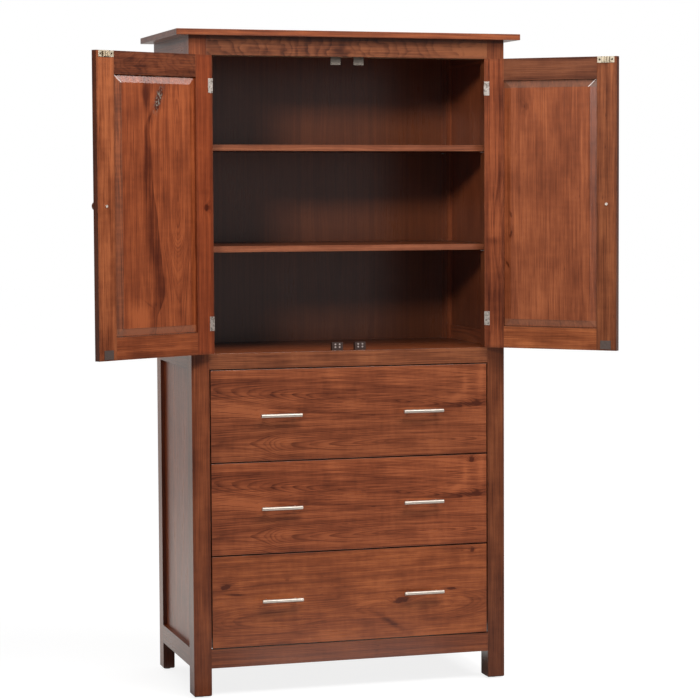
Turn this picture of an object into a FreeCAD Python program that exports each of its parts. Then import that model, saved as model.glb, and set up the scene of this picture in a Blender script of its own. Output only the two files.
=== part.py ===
"""Tall armoire: two inset panel doors over three full-width drawers, on four short legs.

Lengths are in millimetres. X runs across the front, Y from front to back, Z up from the
floor. Every piece is built around the middle of the case, and the whole is moved at the
end so that the middle of its outline on the floor is the origin. The doors stand open.
"""
import FreeCAD
import Part
import os

V = FreeCAD.Vector

# Case
case_width = 1040.0
case_depth = 553.0
case_height = 2094.0  # floor to the underside of the top board
leg_clearance = 93.5  # floor to the underside of the bottom rail
top_thickness = 19.0
top_side_overhang = 45.0
top_front_overhang = 36.0
top_edge_ease = 1.0
front_post_width = 57.0
front_post_depth = 68.5
back_post_width = 38.0
back_post_depth = 59.0
post_foot_chamfer = 3.0
rail_thickness = 22.0
top_rail_height = 60.0
middle_rail_height = 49.5
bottom_rail_height = 60.0
tenon_length = 25.0
tenon_thickness = 8.0
tenon_shoulder = 8.0
side_top_rail_height = 70.0
side_middle_rail_rise = 47.0  # above the compartment floor
side_panel_thickness = 6.0
side_panel_recess = 13.0
side_panel_tongue = 8.0
back_thickness = 6.0
back_rebate = 10.0
back_setback = 2.0
back_rail_thickness = 19.0
back_top_rail_height = 32.0
floor_thickness = 19.0
cleat_thickness = 19.0
cleat_depth = 40.0
glide_height = 5.0
glide_diameter = 20.0

# Shelves
shelf_thickness = 19.0
shelf_setback = 30.5
shelf_play = 1.0
lower_shelf_share = 0.360  # height of the shelf's top as a share of the door opening
upper_shelf_share = 0.702
pin_diameter = 5.0
pin_length = 16.0
pin_play = 0.05
pin_from_edge = 16.0

# Doors
door_thickness = 20.0
door_side_gap = 2.4
door_end_gap = 2.0
door_meeting_gap = 2.0
door_stile_width = 68.0
door_rail_width = 70.0
door_panel_tongue = 9.0
door_panel_tongue_thickness = 6.0
door_panel_setback = 6.5  # outer face of the panel behind the door's outer face
door_panel_sink = 1.0  # raised field below the door's inner face
door_panel_bevel = 24.0
door_panel_shoulder = 1.0
left_door_opening = 151.0  # degrees from shut, as the part rests
right_door_opening = 137.0

# Hinges
hinge_height = 45.0
hinge_from_end = 95.0  # middle of the hinge to the end of the door
hinge_leaf_thickness = 1.0
hinge_knuckle_diameter = 6.4
hinge_knuckle_gap = 0.3
hinge_knuckle_height = 28.0  # the door leaf's knuckle, in the middle
hinge_pin_diameter = 3.0
hinge_pin_play = 0.05
hinge_axis_forward = 4.0
hinge_wrap = 18.0
flat_screw_diameter = 3.5
flat_screw_head_diameter = 7.0
flat_screw_length = 14.0

# Knobs and pulls
knob_diameter = 29.0
knob_head_height = 18.0
knob_projection = 38.0
knob_neck_diameter = 11.0
knob_base_diameter = 16.0
knob_base_height = 2.0
pull_length = 134.0
pull_diameter = 12.0
pull_centres = 96.0
pull_standoff = 30.0
pull_post_diameter = 8.0
pull_from_middle = 236.0
screw_diameter = 4.0
screw_head_diameter = 9.0
screw_head_height = 2.5
screw_bite = 10.0
screw_slot = 1.4

# Catches
catch_from_middle = 38.0
catch_play = 0.4
top_catch_width = 58.0
top_catch_height = 20.0
top_catch_plate = 1.5
top_catch_block_width = 27.0
top_catch_block_height = 15.0
top_catch_block_depth = 6.0
top_catch_rib = 2.0
strike_width = 36.0
strike_height = 28.0
strike_thickness = 1.5
strike_lift = 4.0
magnet_height = 26.0
magnet_depth = 18.0
magnet_stud_diameter = 6.0
magnet_stud_columns = 14.0  # between the middles of the two columns
magnet_stud_rows = 9.0  # between the middles of the two rows
magnet_stud_lift = 2.0  # of the four above the magnet's middle
magnet_stud_depth = 0.4
top_strike_width = 33.0
top_strike_drop = 25.0
top_strike_leg = 22.0

# Drawers
drawer_front_height = 293.0
drawer_front_thickness = 20.0
drawer_gap = 3.5
drawer_side_thickness = 13.0
drawer_back_thickness = 13.0
drawer_bottom_thickness = 6.0
drawer_bottom_lift = 12.0
drawer_groove = 6.0
drawer_housing = 8.0
drawer_box_lift = 16.0
drawer_box_drop = 44.0  # below the front's upper edge
drawer_back_clearance = 25.0
slide_space = 13.0
slide_wall = 1.2
slide_height = 44.0
slide_depth = 9.5
slide_lip = 5.0
slide_play = 0.3
slide_start = 2.0  # behind the drawer front
slide_back_clearance = 48.0  # to the back end of the drawer
slide_lift = 110.0  # middle of the slide above the drawer front's lower edge
slide_head_start = 3.0
slide_head_thickness = 3.0
slide_stem_height = 28.0

# Places that follow from the sizes above
half = case_width / 2
front = -case_depth / 2
back = case_depth / 2
opening_half = half - front_post_width
back_half = half - back_post_width
side_inner = half - rail_thickness
panel_outer = half - side_panel_recess
panel_inner = panel_outer - side_panel_thickness
front_post_end = front + front_post_depth
back_post_start = back - back_post_depth
rail_back = front + rail_thickness
back_face = back - back_setback - back_thickness
bottom_rail_top = leg_clearance + bottom_rail_height
middle_rail_bottom = bottom_rail_top + 3 * drawer_front_height + 4 * drawer_gap
floor_top = middle_rail_bottom + middle_rail_height
opening_top = case_height - top_rail_height
opening_height = opening_top - floor_top
door_bottom = floor_top + door_end_gap
door_top = opening_top - door_end_gap
door_width = opening_half - door_side_gap - door_meeting_gap / 2
door_inner = front + door_thickness
hinge_x = -(opening_half - door_side_gap / 2)
hinge_y = front - hinge_axis_forward
lower_shelf_top = floor_top + lower_shelf_share * opening_height
upper_shelf_top = floor_top + upper_shelf_share * opening_height
drawer_box_front = front + drawer_front_thickness
drawer_box_end = back_face - drawer_back_clearance
drawer_box_height = drawer_front_height - drawer_box_lift - drawer_box_drop
slide_y = drawer_box_front + slide_start
slide_end = drawer_box_end - slide_back_clearance

parts = {}


def box(x0, x1, y0, y1, z0, z1):
    """A board between three pairs of planes."""
    return Part.makeBox(x1 - x0, y1 - y0, z1 - z0, V(x0, y0, z0))


def rod(x, y, z, diameter, length, direction):
    return Part.makeCylinder(diameter / 2, length, V(x, y, z), direction)


def slab(outline, z0, thickness):
    """A flat board of any outline, lying level."""
    wire = Part.makePolygon([V(x, y, z0) for x, y in outline + outline[:1]])
    return Part.Face(wire).extrude(V(0, 0, thickness))


def other_side(shape):
    return shape.mirror(V(0, 0, 0), V(1, 0, 0))


def group(shapes):
    return Part.makeCompound(shapes)


def cut_all(shape, tools):
    for tool in tools:
        shape = shape.cut(tool)
    return shape


# ---------------------------------------------------------------- case frame
def front_rail(z0, z1):
    """A rail across the front, with a tenon into each front post."""
    body = box(-opening_half, opening_half, front, rail_back, z0, z1)
    middle = (front + rail_back) / 2
    reach = opening_half + tenon_length
    tenon = box(-reach, reach, middle - tenon_thickness / 2, middle + tenon_thickness / 2,
                z0 + tenon_shoulder, z1 - tenon_shoulder)
    return body.fuse(tenon).removeSplitter()


def side_rail(z0, z1):
    """A rail on the left side, with a tenon into the front and the back post."""
    body = box(-half, -side_inner, front_post_end, back_post_start, z0, z1)
    middle = -(half + side_inner) / 2
    tenon = box(middle - tenon_thickness / 2, middle + tenon_thickness / 2,
                front_post_end - tenon_length, back_post_start + tenon_length,
                z0 + tenon_shoulder, z1 - tenon_shoulder)
    return body.fuse(tenon).removeSplitter()


def side_panel(z0, z1):
    """A flat panel held on all four edges by the posts and rails of the left side."""
    return box(-panel_outer, -panel_inner,
               front_post_end - side_panel_tongue, back_post_start + side_panel_tongue,
               z0 - side_panel_tongue, z1 + side_panel_tongue)


def foot(post, x0, x1, y0, y1):
    """Ease the four edges of a post's foot."""
    edges = [e for e in post.Edges
             if e.BoundBox.ZMax < glide_height + 0.01
             and e.BoundBox.XLength + e.BoundBox.YLength > min(x1 - x0, y1 - y0) - 1]
    return post.makeChamfer(post_foot_chamfer, edges)


def shelf_pin(x_face, y, z, hole=False):
    """A pin standing half out of a post's inner face, or the hole that takes it."""
    diameter = pin_diameter + (2 * pin_play if hole else 0)
    return rod(x_face - pin_length / 2, y, z, diameter, pin_length, V(1, 0, 0))


top_rail = front_rail(opening_top, case_height)
middle_rail = front_rail(middle_rail_bottom, floor_top)
bottom_rail = front_rail(leg_clearance, bottom_rail_top)

side_middle_top = floor_top + side_middle_rail_rise
side_top_bottom = case_height - side_top_rail_height
side_rails = [
    side_rail(leg_clearance, bottom_rail_top),
    side_rail(middle_rail_bottom, side_middle_top),
    side_rail(side_top_bottom, case_height),
]
side_panels = [
    side_panel(bottom_rail_top, middle_rail_bottom),
    side_panel(side_middle_top, side_top_bottom),
]

shelf_front = front + shelf_setback
front_pin_y = shelf_front + pin_from_edge
back_pin_y = (back_post_start + back_face) / 2
pins = []
pin_holes = []
for shelf_top in (lower_shelf_top, upper_shelf_top):
    pin_z = shelf_top - shelf_thickness - pin_diameter / 2 - pin_play
    for face, y in ((-opening_half, front_pin_y), (-back_half, back_pin_y)):
        pins.append(shelf_pin(face, y, pin_z))
        pin_holes.append(shelf_pin(face, y, pin_z, hole=True))

back_panel = box(-back_half - back_rebate, back_half + back_rebate,
                 back_face, back_face + back_thickness, leg_clearance, case_height)
back_rebate_cut = box(-back_half - back_rebate, -back_half, back_face, back + 1,
                      leg_clearance, case_height)

front_post = box(-half, -opening_half, front, front_post_end, glide_height, case_height)
front_post = foot(front_post, -half, -opening_half, front, front_post_end)
front_post = cut_all(front_post, [top_rail, middle_rail, bottom_rail]
                     + side_rails + side_panels + pin_holes)
back_post = box(-half, -back_half, back_post_start, back, glide_height, case_height)
back_post = foot(back_post, -half, -back_half, back_post_start, back)
back_post = cut_all(back_post, side_rails + side_panels + pin_holes + [back_rebate_cut])
side_rails = [cut_all(rail, side_panels) for rail in side_rails]

parts["front_post_left"] = front_post
parts["front_post_right"] = other_side(front_post)
parts["back_post_left"] = back_post
parts["back_post_right"] = other_side(back_post)
parts["top_rail"] = top_rail
parts["middle_rail"] = middle_rail
parts["bottom_rail"] = bottom_rail
parts["left_side_rails"] = group(side_rails)
parts["right_side_rails"] = group([other_side(rail) for rail in side_rails])
parts["left_side_panels"] = group(side_panels)
parts["right_side_panels"] = group([other_side(panel) for panel in side_panels])
parts["back_panel"] = back_panel
parts["shelf_pins"] = group(pins + [other_side(pin) for pin in pins])

top = box(-half - top_side_overhang, half + top_side_overhang,
          front - top_front_overhang, back, case_height, case_height + top_thickness)
parts["top_board"] = top.makeChamfer(top_edge_ease, top.Edges)

front_cleat = box(-opening_half, opening_half, rail_back, rail_back + cleat_depth,
                  opening_top, opening_top + cleat_thickness)
back_rail_start = back_face - back_rail_thickness
back_top_rail = box(-back_half, back_half, back_rail_start, back_face,
                    case_height - back_top_rail_height, case_height)
back_bottom_rail = box(-back_half, back_half, back_rail_start, back_face,
                       leg_clearance, bottom_rail_top)
parts["frame_cleats"] = group([front_cleat, back_top_rail, back_bottom_rail])


def notched_board(y0, y1, play, z0, thickness):
    """A level board that fits round the inner corners of the four posts."""
    a = opening_half - play
    b = side_inner - play
    c = back_half - play
    y_a = front_post_end + play
    y_b = back_post_start - play
    right = [(a, y0), (a, y_a), (b, y_a), (b, y_b), (c, y_b), (c, y1)]
    left = [(-x, y) for x, y in reversed(right)]
    return slab(right + left, z0, thickness)


parts["compartment_floor"] = notched_board(rail_back, back_face, 0.0,
                                           floor_top - floor_thickness, floor_thickness)
for name, shelf_top in (("lower_shelf", lower_shelf_top), ("upper_shelf", upper_shelf_top)):
    parts[name] = notched_board(shelf_front, back_face - shelf_play, shelf_play,
                                shelf_top - shelf_thickness, shelf_thickness)

glides = []
for x in (half - front_post_width / 2, front_post_width / 2 - half):
    glides.append(rod(x, front + front_post_depth / 2, 0, glide_diameter, glide_height,
                      V(0, 0, 1)))
for x in (half - back_post_width / 2, back_post_width / 2 - half):
    glides.append(rod(x, back - back_post_depth / 2, 0, glide_diameter, glide_height,
                      V(0, 0, 1)))
parts["leg_glides"] = group(glides)


# ---------------------------------------------------------------- screws and hinges
def slot_cut(x, y, z):
    """The upright driver slot across a screw head."""
    reach = screw_head_diameter
    half_slot = screw_slot / 2
    return box(x - half_slot, x + half_slot, y - half_slot, y + half_slot, z - reach, z + reach)


def screw(x, y_head, z, length):
    """A round-headed screw whose head sits behind y_head and whose shank runs forward."""
    head = rod(x, y_head, z, screw_head_diameter, screw_head_height, V(0, 1, 0))
    head = head.cut(slot_cut(x, y_head + screw_head_height, z))
    shank = rod(x, y_head, z, screw_diameter, length, V(0, -1, 0))
    return head.fuse(shank).removeSplitter()


def flat_screw(x, y, z, away):
    """A countersunk screw with its head flush at the point and its shank running on."""
    sink = (flat_screw_head_diameter - flat_screw_diameter) / 2
    head = Part.makeCone(flat_screw_head_diameter / 2, flat_screw_diameter / 2, sink,
                         V(x, y, z), away)
    shank = rod(x, y, z, flat_screw_diameter, flat_screw_length, away)
    return head.fuse(shank).removeSplitter().cut(slot_cut(x, y, z))


def knuckle(z0, height):
    return rod(hinge_x, hinge_y, z0, hinge_knuckle_diameter, height, V(0, 0, 1))


def hinge_bore(z0):
    """The space the pin turns in."""
    return rod(hinge_x, hinge_y, z0 - 1, hinge_pin_diameter + 2 * hinge_pin_play,
               hinge_height + 2, V(0, 0, 1))


def case_leaf(z0):
    """The leaf on the left front post, with its two knuckles and the pin."""
    z1 = z0 + hinge_height
    lower = z0 + (hinge_height - hinge_knuckle_height) / 2
    upper = z1 - (hinge_height - hinge_knuckle_height) / 2
    leaf = box(-opening_half, -opening_half + hinge_leaf_thickness, hinge_y, door_inner, z0, z1)
    clear = knuckle(lower, hinge_knuckle_height)
    reach = hinge_knuckle_diameter / 2 + hinge_knuckle_gap
    notch = box(hinge_x - reach, hinge_x + reach, hinge_y - reach, hinge_y + reach, lower, upper)
    leaf = leaf.cut(notch)
    screws = []
    for z in (lower + flat_screw_head_diameter / 2, upper - flat_screw_head_diameter / 2):
        screws.append(flat_screw(-opening_half + hinge_leaf_thickness,
                                 (front + door_inner) / 2, z, V(-1, 0, 0)))
    pin = rod(hinge_x, hinge_y, z0, hinge_pin_diameter, hinge_height, V(0, 0, 1))
    leaf = leaf.fuse([knuckle(z0, lower - z0), knuckle(upper, z1 - upper), pin])
    return cut_all(leaf.removeSplitter(), screws), screws


def door_leaf(z0):
    """The leaf round the door's edge and onto its inner face, with the middle knuckle."""
    z1 = z0 + hinge_height
    gap = (hinge_height - hinge_knuckle_height) / 2 + hinge_knuckle_gap
    door_edge = -opening_half + door_side_gap
    strap = box(door_edge - hinge_leaf_thickness, door_edge, hinge_y,
                door_inner + hinge_leaf_thickness, z0 + gap, z1 - gap)
    face = box(door_edge - hinge_leaf_thickness, door_edge + hinge_wrap,
               door_inner, door_inner + hinge_leaf_thickness, z0, z1)
    leaf = knuckle(z0 + gap, hinge_height - 2 * gap).fuse([strap, face])
    leaf = leaf.cut(hinge_bore(z0))
    screws = []
    for z in (z0 + hinge_height / 4, z1 - hinge_height / 4):
        screws.append(flat_screw(door_edge + hinge_wrap * 0.6,
                                 door_inner + hinge_leaf_thickness, z, V(0, -1, 0)))
    return cut_all(leaf.removeSplitter(), screws), screws


hinge_levels = (door_bottom + hinge_from_end - hinge_height / 2,
                door_top - hinge_from_end - hinge_height / 2)
case_leaves = []
case_screws = []
for z in hinge_levels:
    leaf, screws = case_leaf(z)
    case_leaves.append(leaf)
    case_screws += screws
parts["front_post_left"] = cut_all(parts["front_post_left"], case_screws)
parts["front_post_right"] = cut_all(parts["front_post_right"],
                                    [other_side(s) for s in case_screws])
hinge_pieces = case_leaves + case_screws
parts["case_hinge_leaves"] = group(hinge_pieces + [other_side(p) for p in hinge_pieces])


# ---------------------------------------------------------------- doors
def rectangle(x0, x1, y, z0, z1):
    return Part.makePolygon([V(x0, y, z0), V(x1, y, z0), V(x1, y, z1), V(x0, y, z1),
                             V(x0, y, z0)])


def raised_panel(x0, x1, z0, z1):
    """A panel with a flat outer face and a field raised by a bevel on the inside."""
    outer = front + door_panel_setback
    seat = outer + door_panel_tongue_thickness
    crown = door_inner - door_panel_sink
    t = door_panel_tongue
    b = door_panel_bevel
    sheet = box(x0 - t, x1 + t, outer, seat, z0 - t, z1 + t)
    low = rectangle(x0 + 1, x1 - 1, seat, z0 + 1, z1 - 1)
    high = rectangle(x0 + b, x1 - b, crown - door_panel_shoulder, z0 + b, z1 - b)
    bevel = Part.makeLoft([low, high], True, True)
    field = box(x0 + b, x1 - b, seat, crown, z0 + b, z1 - b)
    return sheet.fuse([bevel, field]).removeSplitter()


def door_pieces():
    """The left door shut, as a dictionary of its pieces."""
    x0 = -opening_half + door_side_gap
    x1 = x0 + door_width
    inner_x0 = x0 + door_stile_width
    inner_x1 = x1 - door_stile_width
    inner_z0 = door_bottom + door_rail_width
    inner_z1 = door_top - door_rail_width
    middle = (front + door_panel_setback + door_panel_tongue_thickness / 2)
    half_tongue = door_panel_tongue_thickness / 2
    panel = raised_panel(inner_x0, inner_x1, inner_z0, inner_z1)
    rails = []
    for z0, z1 in ((door_bottom, door_bottom + door_rail_width),
                   (door_top - door_rail_width, door_top)):
        rail = box(inner_x0, inner_x1, front, door_inner, z0, z1)
        tongue = box(inner_x0 - door_panel_tongue, inner_x1 + door_panel_tongue,
                     middle - half_tongue, middle + half_tongue, z0, z1)
        rails.append(rail.fuse(tongue).removeSplitter().cut(panel))
    knob_x = x1 - door_stile_width / 2
    knob_z = (door_bottom + door_top) / 2
    knob_screw = screw(knob_x, door_inner, knob_z, door_thickness + screw_bite)
    hinge_leaves = []
    hinge_screws = []
    for z in hinge_levels:
        leaf, screws = door_leaf(z)
        hinge_leaves.append(leaf)
        hinge_screws += screws
    hinge_stile = cut_all(box(x0, inner_x0, front, door_inner, door_bottom, door_top),
                          rails + [panel] + hinge_screws)
    away = V(0, -1, 0)
    head_start = knob_projection - knob_head_height
    head = rod(knob_x, front - head_start, knob_z, knob_diameter, knob_head_height, away)
    head = head.makeFillet(0.44 * knob_head_height, head.Edges)
    knob = head.fuse([
        rod(knob_x, front, knob_z, knob_base_diameter, knob_base_height, away),
        rod(knob_x, front, knob_z, knob_neck_diameter, knob_projection - 1, away),
    ]).removeSplitter().cut(knob_screw)

    catch_z = door_top - top_catch_height / 2
    plate = box(-catch_from_middle - top_catch_width / 2, -catch_from_middle + top_catch_width / 2,
                door_inner, door_inner + top_catch_plate, door_top - top_catch_height, door_top)
    block = box(-catch_from_middle - top_catch_block_width / 2,
                -catch_from_middle + top_catch_block_width / 2,
                door_inner, door_inner + top_catch_block_depth,
                catch_z - top_catch_block_height / 2, catch_z + top_catch_block_height / 2)
    catch = plate.fuse(block).removeSplitter()
    ribs = int(top_catch_block_width / (2 * top_catch_rib))
    for i in range(ribs):
        x = -catch_from_middle + (2 * i - ribs + 0.5) * top_catch_rib
        catch = catch.cut(box(x, x + top_catch_rib, door_inner + top_catch_block_depth - 1,
                              door_inner + top_catch_block_depth + 1,
                              catch_z - top_catch_block_height, catch_z + top_catch_block_height))
    catch_screws = []
    for side in (-1, 1):
        x = -catch_from_middle + side * (top_catch_width + top_catch_block_width) / 4
        catch_screws.append(flat_screw(x, door_inner + top_catch_plate, catch_z, away))

    strike = box(-catch_from_middle - strike_width / 2, -catch_from_middle + strike_width / 2,
                 door_inner, door_inner + strike_thickness,
                 door_bottom + strike_lift, door_bottom + strike_lift + strike_height)
    strike_screw = flat_screw(-catch_from_middle, door_inner + strike_thickness,
                              door_bottom + strike_lift + strike_height / 2, away)
    free_stile = cut_all(box(inner_x1, x1, front, door_inner, door_bottom, door_top),
                         rails + [panel, knob_screw, strike_screw] + catch_screws)
    return {
        "hinge_stile": hinge_stile,
        "free_stile": free_stile,
        "bottom_rail": rails[0],
        "top_rail": cut_all(rails[1], catch_screws),
        "panel": panel,
        "hinge_leaves": group(hinge_leaves + hinge_screws),
        "knob": group([knob, knob_screw]),
        "top_catch": group([cut_all(catch, catch_screws)] + catch_screws),
        "bottom_strike": group([cut_all(strike, [strike_screw]), strike_screw]),
    }


for name, shape in door_pieces().items():
    left = shape.copy()
    left.rotate(V(hinge_x, hinge_y, 0), V(0, 0, 1), -left_door_opening)
    right = other_side(shape)
    right.rotate(V(-hinge_x, hinge_y, 0), V(0, 0, 1), right_door_opening)
    parts["left_door_" + name] = left
    parts["right_door_" + name] = right

# ---------------------------------------------------------------- catches on the case
magnets = []
top_strikes = []
for side in (-1, 1):
    x = side * catch_from_middle
    face = door_inner + strike_thickness + catch_play
    body = box(x - strike_width / 2, x + strike_width / 2, face, face + magnet_depth,
               floor_top, floor_top + magnet_height)
    studs = []
    for dx in (-1, 1):
        for dz in (-1, 1):
            stud_z = floor_top + magnet_height / 2 + magnet_stud_lift + dz * magnet_stud_rows / 2
            studs.append(rod(x + dx * magnet_stud_columns / 2, face - magnet_stud_depth / 2,
                             stud_z, magnet_stud_diameter, magnet_stud_depth, V(0, 1, 0)))
    magnets.append(body.fuse(studs).removeSplitter())
    face = door_inner + top_catch_block_depth + catch_play
    drop = box(x - top_strike_width / 2, x + top_strike_width / 2, face,
               face + strike_thickness, opening_top - top_strike_drop, opening_top)
    leg = box(x - top_strike_width / 2, x + top_strike_width / 2, face,
              face + top_strike_leg, opening_top - strike_thickness, opening_top)
    top_strikes.append(drop.fuse(leg).removeSplitter())
parts["magnet_catches"] = group(magnets)
parts["top_strike_plates"] = group(top_strikes)


# ---------------------------------------------------------------- drawers
def case_slide(z):
    """The channel on the right side of the case, open towards the drawer."""
    x = opening_half
    y1 = slide_end
    h = slide_height / 2
    pieces = [box(x - slide_wall, x, slide_y, y1, z - h, z + h)]
    for side in (-1, 1):
        low, high = sorted((side * h, side * (h - slide_wall)))
        pieces.append(box(x - slide_depth, x, slide_y, y1, z + low, z + high))
        low, high = sorted((side * h, side * (h - slide_lip)))
        pieces.append(box(x - slide_depth, x - slide_depth + slide_wall, slide_y, y1,
                          z + low, z + high))
    return pieces[0].fuse(pieces[1:]).removeSplitter()


def drawer_slide(z):
    """The rail on the right side of a drawer, whose head runs inside the channel."""
    x = opening_half
    y1 = slide_end
    head = slide_height / 2 - slide_wall - slide_play
    stem = slide_stem_height / 2
    body = box(x - slide_head_start - slide_head_thickness, x - slide_head_start,
               slide_y, y1, z - head, z + head)
    arm = box(x - slide_space, x - slide_head_start, slide_y, y1, z - stem, z + stem)
    return body.fuse(arm).removeSplitter()


def pull(x, z):
    """A round bar on two posts, with the screws that hold it."""
    y = front - pull_standoff
    bar = rod(x - pull_length / 2, y, z, pull_diameter, pull_length, V(1, 0, 0))
    bar = bar.makeChamfer(1.0, [e for e in bar.Edges if e.BoundBox.XLength < 0.1])
    posts = []
    screws = []
    for side in (-1, 1):
        post_x = x + side * pull_centres / 2
        posts.append(rod(post_x, front, z, pull_post_diameter, pull_standoff, V(0, -1, 0)))
        screws.append(screw(post_x, front + drawer_front_thickness, z,
                            drawer_front_thickness + screw_bite))
    return [cut_all(bar.fuse(posts).removeSplitter(), screws)] + screws


def drawer_pieces(z0):
    """One drawer, shut, whose front starts at height z0."""
    z1 = z0 + drawer_front_height
    x_out = opening_half - slide_space
    x_in = x_out - drawer_side_thickness
    y0 = drawer_box_front
    y1 = drawer_box_end
    box_z0 = z0 + drawer_box_lift
    box_z1 = box_z0 + drawer_box_height
    bottom_z = box_z0 + drawer_bottom_lift
    bottom = box(-x_in - drawer_groove, x_in + drawer_groove, y0 - drawer_groove,
                 y1 - drawer_back_thickness, bottom_z, bottom_z + drawer_bottom_thickness)
    side = box(x_in, x_out, y0 - drawer_housing, y1, box_z0, box_z1).cut(bottom)
    sides = [side, other_side(side)]
    rear = box(-x_in, x_in, y1 - drawer_back_thickness, y1,
               bottom_z, box_z1)
    pulls = pull(-pull_from_middle, (z0 + z1) / 2) + pull(pull_from_middle, (z0 + z1) / 2)
    face = box(-opening_half + drawer_gap, opening_half - drawer_gap, front, y0, z0, z1)
    face = cut_all(face, sides + [bottom] + pulls)
    slide = drawer_slide(z0 + slide_lift)
    return {
        "front": face,
        "sides": group(sides),
        "back": rear,
        "bottom": bottom,
        "pulls": group(pulls),
        "slides": group([slide, other_side(slide)]),
    }


slides = []
cleats = []
for level, name in enumerate(("bottom_drawer", "middle_drawer", "top_drawer")):
    z0 = bottom_rail_top + drawer_gap + level * (drawer_front_height + drawer_gap)
    for piece, shape in drawer_pieces(z0).items():
        parts[name + "_" + piece] = shape
    z = z0 + slide_lift
    slides.append(case_slide(z))
    cleats.append(box(opening_half, panel_inner, front_post_end, back_post_start,
                      z - slide_height / 2, z + slide_height / 2))
parts["case_slides"] = group(slides + [other_side(s) for s in slides])
parts["slide_cleats"] = group(cleats + [other_side(c) for c in cleats])

# ---------------------------------------------------------------- stand and write
bounds = group(list(parts.values())).optimalBoundingBox(False, False)
stand = V(-round(bounds.Center.x, 2), -round(bounds.Center.y, 2), 0)

os.makedirs("parts", exist_ok=True)
for name, shape in parts.items():
    shape.translate(stand)
    shape.exportStep("parts/" + name + ".step")

print("nodes", len(parts))
print("origin moved by", stand.x, stand.y)
print("left hinge axis", hinge_x + stand.x, hinge_y + stand.y)
print("right hinge axis", -hinge_x + stand.x, hinge_y + stand.y)
print("size", bounds.XLength, bounds.YLength, bounds.ZMax)
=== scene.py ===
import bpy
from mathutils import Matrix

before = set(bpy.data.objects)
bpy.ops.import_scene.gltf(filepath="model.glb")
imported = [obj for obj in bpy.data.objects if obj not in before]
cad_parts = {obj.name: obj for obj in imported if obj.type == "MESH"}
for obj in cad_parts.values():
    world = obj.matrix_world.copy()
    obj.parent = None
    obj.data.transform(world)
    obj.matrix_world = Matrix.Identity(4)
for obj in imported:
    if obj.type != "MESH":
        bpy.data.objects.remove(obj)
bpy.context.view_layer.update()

import math

import bpy
import numpy as np
from bpy.props import FloatProperty, FloatVectorProperty, PointerProperty
from mathutils import Matrix, Vector

bl_info = {
    "name": "Cherry armoire",
    "version": (1, 0, 0),
    "blender": (4, 5, 0),
    "location": "3D View > Sidebar > Armoire",
    "description": "Finishes for a tall cherry armoire with two doors and three drawers",
    "category": "Object",
}

X = (1.0, 0.0, 0.0)
Y = (0.0, 1.0, 0.0)
Z = (0.0, 0.0, 1.0)

# How far each door stands open at rest, about Z.
door_turns = {"left": math.radians(-151), "right": math.radians(137)}

# A painted shade for edges in deep shade, colours of what lies on the wood, a painted grey sheen
# for bevels, a painted pale glint for mitres, and pale box wood.
painted_shade_rim = (0.42, 0.34, 0.28)
gathered_stain = (0.05, 0.016, 0.009, 1)
bark_dust = (0.19, 0.155, 0.125, 1)
painted_sheen = (0.13, 0.13, 0.10, 1)
painted_glint = (0.95, 0.86, 0.82, 1)
maple = ((0.76, 0.56, 0.37), (0.66, 0.45, 0.27), (0.46, 0.29, 0.16))

# From a door panel's middle: the edge of its field, across and along, and its bevel's foot.
field_across = 0.1325
field_along = 0.3725
bevel_foot = -0.39475


# ---------------- sizes and colours
class ArmoireWood(bpy.types.PropertyGroup):
    """The stained cherry and its finish."""

    pale: FloatVectorProperty(
        name="Pale cherry", description="Stained wood between the dark bands",
        subtype="COLOR", size=3, min=0, max=1, default=(0.37, 0.100, 0.033))
    middle: FloatVectorProperty(
        name="Middle cherry", description="The stained wood's usual colour",
        subtype="COLOR", size=3, min=0, max=1, default=(0.215, 0.050, 0.0155))
    deep: FloatVectorProperty(
        name="Deep cherry", description="Latewood lines and dark bands",
        subtype="COLOR", size=3, min=0, max=1, default=(0.070, 0.0108, 0.0016))
    edge_ease: FloatProperty(
        name="Eased edge", description="Radius left on a board's edges by sanding",
        unit="LENGTH", min=0, max=0.004, default=0.0011)


class ArmoireStudio(bpy.types.PropertyGroup):
    """The floor, lamps and camera."""

    floor_side: FloatProperty(
        name="Floor side", description="Length of one side of the floor",
        unit="LENGTH", min=5, default=60.0)
    key_power: FloatProperty(
        name="Key lamp", description="Power of the large soft lamp in front on the left",
        unit="POWER", min=0, default=9.2)
    top_power: FloatProperty(
        name="Top lamp", description="Power of the soft lamp above the front",
        unit="POWER", min=0, default=104.0)
    side_power: FloatProperty(
        name="Side lamp", description="Power of the soft lamp high on the right",
        unit="POWER", min=0, default=82.0)
    fill: FloatProperty(
        name="Fill", description="Brightness of the room all round", min=0, default=0.009)
    overhead: FloatProperty(
        name="Overhead", description="Brightness of the white ceiling", min=0, default=1.15)
    lens: FloatProperty(
        name="Lens", description="Focal length on a 36 mm wide frame",
        subtype="DISTANCE_CAMERA", min=1, default=128.26)


# ---------------- shader wiring
def join(socket, value):
    """Wires a socket, or sets it when the value is plain."""
    if isinstance(value, bpy.types.NodeSocket):
        socket.id_data.links.new(value, socket)
    else:
        socket.default_value = value


def fresh(kind, *values):
    """A new node in the tree of the first socket among the values."""
    near = next(v for v in values if isinstance(v, bpy.types.NodeSocket))
    return near.id_data.nodes.new("ShaderNode" + kind)


def fill(node, *values):
    """Wires or sets a node's inputs in turn."""
    for socket, value in zip(node.inputs, values):
        join(socket, value)
    return node


def sums(operation, *values, clamp=False):
    n = fill(fresh("Math", *values), *values)
    n.operation = operation
    n.use_clamp = clamp
    return n.outputs[0]


def times(a, b):
    return sums("MULTIPLY", a, b)


def minus(a, b):
    return sums("SUBTRACT", a, b)


def linear(a, b, c):
    """a times b, plus c."""
    return sums("MULTIPLY_ADD", a, b, c)


def absolute(value):
    return sums("ABSOLUTE", value)


def total(*values):
    out = values[0]
    for v in values[1:]:
        out = sums("ADD", out, v)
    return out


def distance(x, y):
    """How far a point (x, y) is from the middle."""
    return sums("SQRT", total(times(x, x), times(y, y)))


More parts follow.
